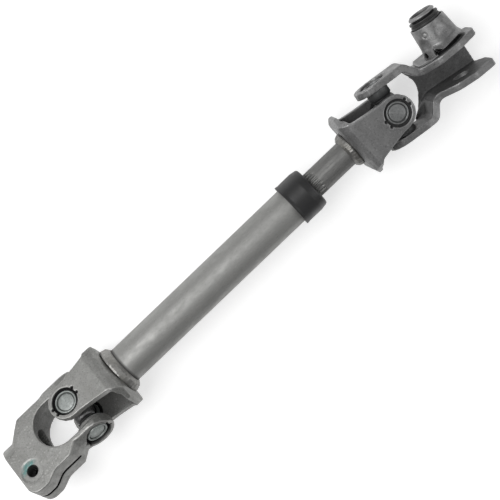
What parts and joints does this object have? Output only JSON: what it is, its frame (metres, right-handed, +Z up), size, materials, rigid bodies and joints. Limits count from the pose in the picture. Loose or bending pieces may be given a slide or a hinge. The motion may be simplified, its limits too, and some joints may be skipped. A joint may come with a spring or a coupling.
{
  "type": "steering shaft",
  "caption": "Intermediate steering shaft: telescoping splined tube with a universal joint and a clamp yoke at each end, one clamp with a captive pinch bolt.",
  "frame": {"origin": "middle of the underside of the whole part's box, on the surface it lies on", "axes": "+X along the shaft from the forged clamp yoke to the pressed clamp yoke with the captive bolt, +Z up from the surface it lies on, towards the viewer of the picture"},
  "size_m": [0.4384, 0.0694, 0.0602],
  "materials": {
    "tube_steel": "plain drawn tube, dull grey",
    "pressed_steel": "pressed plate, shot-blasted grey",
    "forged_steel": "forged and shot-blasted, machined bores",
    "dark_pressed_steel": "pressed plate, dark phosphated grey",
    "weld_steel": "weld bead, slightly heat tinted",
    "sleeve_steel": "broached",
    "shaft_steel": "drawn bar with rolled splines",
    "ground_steel": "ground trunnions",
    "cup_steel": "smooth drawn cup, pale grey",
    "needle_steel": "ground",
    "seal_rubber": "matt black",
    "collar_plastic": "satin black",
    "cage_steel": "drawn sheet steel, grey",
    "retainer_plastic": "black",
    "bolt_steel": "dark grey bolt"
  },
  "bodies": {
    "tube": {"outer_tube": "tube_steel", "tube_yoke": "pressed_steel", "tube_weld": "weld_steel", "spline_sleeve": "sleeve_steel", "dust_collar": "collar_plastic", "lower_cup_1": "cup_steel", "lower_cup_2": "cup_steel", "lower_needles_1": "needle_steel", "lower_needles_2": "needle_steel"},
    "lower_cross": {"lower_cross": "ground_steel", "lower_seal_1": "seal_rubber", "lower_seal_2": "seal_rubber", "lower_seal_3": "seal_rubber", "lower_seal_4": "seal_rubber"},
    "lower_clamp": {"lower_clamp_yoke": "forged_steel", "lower_cup_3": "cup_steel", "lower_cup_4": "cup_steel", "lower_needles_3": "needle_steel", "lower_needles_4": "needle_steel"},
    "inner_shaft": {"inner_shaft": "shaft_steel", "shaft_weld": "weld_steel", "shaft_yoke": "dark_pressed_steel", "upper_cup_1": "cup_steel", "upper_cup_2": "cup_steel", "upper_needles_1": "needle_steel", "upper_needles_2": "needle_steel"},
    "upper_cross": {"upper_cross": "ground_steel", "upper_seal_1": "seal_rubber", "upper_seal_2": "seal_rubber", "upper_seal_3": "seal_rubber", "upper_seal_4": "seal_rubber"},
    "upper_clamp": {"upper_clamp_yoke": "dark_pressed_steel", "upper_cup_3": "cup_steel", "upper_cup_4": "cup_steel", "upper_needles_3": "needle_steel", "upper_needles_4": "needle_steel", "bolt_cage": "cage_steel"},
    "bolt_carrier": {"bolt_retainer": "retainer_plastic"},
    "bolt": {"pinch_bolt": "bolt_steel"}
  },
  "joints": [
    {"name": "lower_cross_hinge", "type": "hinge", "parent": "tube", "child": "lower_cross", "pos_m": [-0.15967, -0.00298, 0.02889], "axis": [0, 0.6428, 0.766], "range_deg": [-30, 30]},
    {"name": "lower_clamp_hinge", "type": "hinge", "parent": "lower_cross", "child": "lower_clamp", "pos_m": [-0.15967, -0.00298, 0.02889], "axis": [0, -0.766, 0.6428], "range_deg": [-30, 30]},
    {"name": "telescope_slide", "type": "slide", "parent": "tube", "child": "inner_shaft", "axis": [1, 0, 0], "range_m": [-0.028, 0.03]},
    {"name": "upper_cross_hinge", "type": "hinge", "parent": "inner_shaft", "child": "upper_cross", "pos_m": [0.14033, -0.00298, 0.02889], "axis": [0, 0, 1], "range_deg": [-22.5, 37.5]},
    {"name": "upper_clamp_hinge", "type": "hinge", "parent": "upper_cross", "child": "upper_clamp", "pos_m": [0.14033, -0.00298, 0.02889], "axis": [0.1305, 0.9914, 0], "range_deg": [-30, 30]},
    {"name": "bolt_push", "type": "slide", "parent": "upper_clamp", "child": "bolt_carrier", "axis": [-0.1305, -0.9914, 0], "range_m": [0, 0.0207]},
    {"name": "bolt_spin", "type": "hinge", "parent": "bolt_carrier", "child": "bolt", "pos_m": [0.19466, -0.01013, 0.03139], "axis": [0.1305, 0.9914, 0], "continuous": true}
  ]
}
